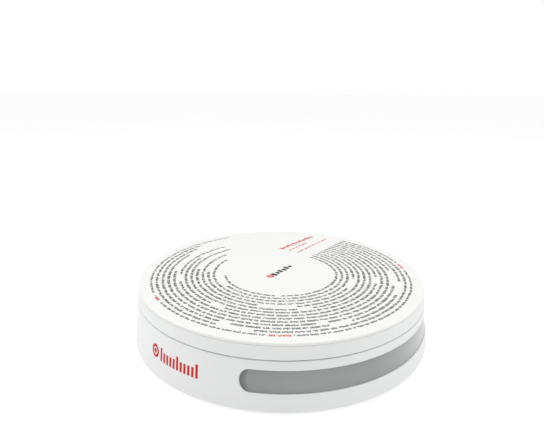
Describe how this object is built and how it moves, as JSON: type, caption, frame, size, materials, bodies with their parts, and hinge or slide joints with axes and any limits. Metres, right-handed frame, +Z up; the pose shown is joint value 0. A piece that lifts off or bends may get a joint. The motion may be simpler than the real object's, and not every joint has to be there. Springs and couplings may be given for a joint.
{
  "type": "motorised scanning turntable",
  "caption": "Low round motorised turntable: a flat printed plate on a platter that turns on a fixed base, with a pill-shaped light window in its side.",
  "frame": {"origin": "on the spindle axis, on the plane that the rubber feet rest on", "axes": "+Z up along the spindle axis; -Y towards the front, from where the light window starts in the middle and runs round to the right; +Y towards the rear, with the power socket and the button"},
  "size_m": [0.25, 0.25, 0.045],
  "materials": {
    "white_plastic": "moulded white plastic, fine satin grain",
    "plate_plastic": "smooth bright white plastic, satin",
    "grey_diffuser": "smoky grey translucent plastic, smooth",
    "circuit_board": "green solder mask",
    "rubber": "moulded black rubber",
    "steel": "turned and pressed steel",
    "motor_metal": "black painted motor housing",
    "gear_plastic": "natural acetal",
    "brass": "cut brass",
    "black_plastic": "moulded black plastic",
    "shield_metal": "tinned pressed metal",
    "cable_jacket": "soft cable jacket"
  },
  "bodies": {
    "base": {"base_shell": "white_plastic", "bearing_outer_ring": "steel", "board_screw_1": "steel", "board_screw_2": "steel", "bottom_cover": "white_plastic", "bracket_screw_1": "steel", "bracket_screw_2": "steel", "button_switch": "black_plastic", "capacitor": "motor_metal", "control_board": "circuit_board", "cover_screw_1": "steel", "cover_screw_2": "steel", "cover_screw_3": "steel", "cover_screw_4": "steel", "drive_motor": "motor_metal", "foot_1": "rubber", "foot_2": "rubber", "foot_3": "rubber", "foot_4": "rubber", "gear_pin": "steel", "gear_pin_clip": "steel", "home_sensor": "black_plastic", "light_cable": "cable_jacket", "light_connector": "plate_plastic", "light_strip": "circuit_board", "light_window": "grey_diffuser", "motor_bracket": "steel", "motor_cable": "cable_jacket", "motor_connector": "plate_plastic", "motor_driver": "black_plastic", "motor_screw_1": "steel", "motor_screw_2": "steel", "power_socket": "black_plastic", "radio_module": "shield_metal", "roller_pin_1": "steel", "roller_pin_2": "steel", "roller_pin_3": "steel", "roller_pin_4": "steel"},
    "turning_platter": {"top_plate": "plate_plastic", "platter": "white_plastic", "platter_gear": "gear_plastic", "spindle": "steel", "bearing_inner_ring": "steel", "spindle_clip": "steel", "gear_screw_1": "steel", "gear_screw_2": "steel", "gear_screw_3": "steel", "home_magnet": "shield_metal"},
    "ball_set": {"bearing_ball_cage": "steel"},
    "compound_gear_set": {"compound_gear": "gear_plastic"},
    "motor_rotor": {"motor_shaft": "steel", "motor_pinion": "brass"},
    "roller_1": {"support_roller_1": "black_plastic"},
    "roller_2": {"support_roller_2": "black_plastic"},
    "roller_3": {"support_roller_3": "black_plastic"},
    "roller_4": {"support_roller_4": "black_plastic"},
    "button": {"power_button": "white_plastic", "switch_plunger": "plate_plastic"}
  },
  "joints": [
    {"name": "platter_spin", "type": "hinge", "parent": "base", "child": "turning_platter", "pos_m": [0, 0, 0.018], "axis": [0, 0, 1], "continuous": true},
    {"name": "ball_set_spin", "type": "hinge", "parent": "base", "child": "ball_set", "pos_m": [0, 0, 0.018], "axis": [0, 0, 1], "continuous": true},
    {"name": "compound_gear_spin", "type": "hinge", "parent": "base", "child": "compound_gear_set", "pos_m": [-0.0592, -0.02155, 0.028], "axis": [0, 0, 1], "continuous": true},
    {"name": "motor_spin", "type": "hinge", "parent": "base", "child": "motor_rotor", "pos_m": [-0.06441, -0.05109, 0.026], "axis": [0, 0, 1], "continuous": true},
    {"name": "roller_1_spin", "type": "hinge", "parent": "base", "child": "roller_1", "pos_m": [0.09397, 0.0342, 0.0319], "axis": [0.9397, 0.342, 0], "continuous": true},
    {"name": "roller_2_spin", "type": "hinge", "parent": "base", "child": "roller_2", "pos_m": [-0.0342, 0.09397, 0.0319], "axis": [-0.342, 0.9397, 0], "continuous": true},
    {"name": "roller_3_spin", "type": "hinge", "parent": "base", "child": "roller_3", "pos_m": [-0.09397, -0.0342, 0.0319], "axis": [-0.9397, -0.342, 0], "continuous": true},
    {"name": "roller_4_spin", "type": "hinge", "parent": "base", "child": "roller_4", "pos_m": [0.0342, -0.09397, 0.0319], "axis": [0.342, -0.9397, 0], "continuous": true},
    {"name": "button_press", "type": "slide", "parent": "base", "child": "button", "axis": [0, -1, 0], "range_m": [0, 0.001], "stiffness_N_per_m": 1500}
  ],
  "couplings": [
    {"joint": "ball_set_spin", "follows": "platter_spin", "ratio": 0.39333},
    {"joint": "compound_gear_spin", "follows": "platter_spin", "ratio": -6},
    {"joint": "motor_spin", "follows": "platter_spin", "ratio": 24},
    {"joint": "roller_1_spin", "follows": "platter_spin", "ratio": -20},
    {"joint": "roller_2_spin", "follows": "platter_spin", "ratio": -20},
    {"joint": "roller_3_spin", "follows": "platter_spin", "ratio": -20},
    {"joint": "roller_4_spin", "follows": "platter_spin", "ratio": -20}
  ]
}
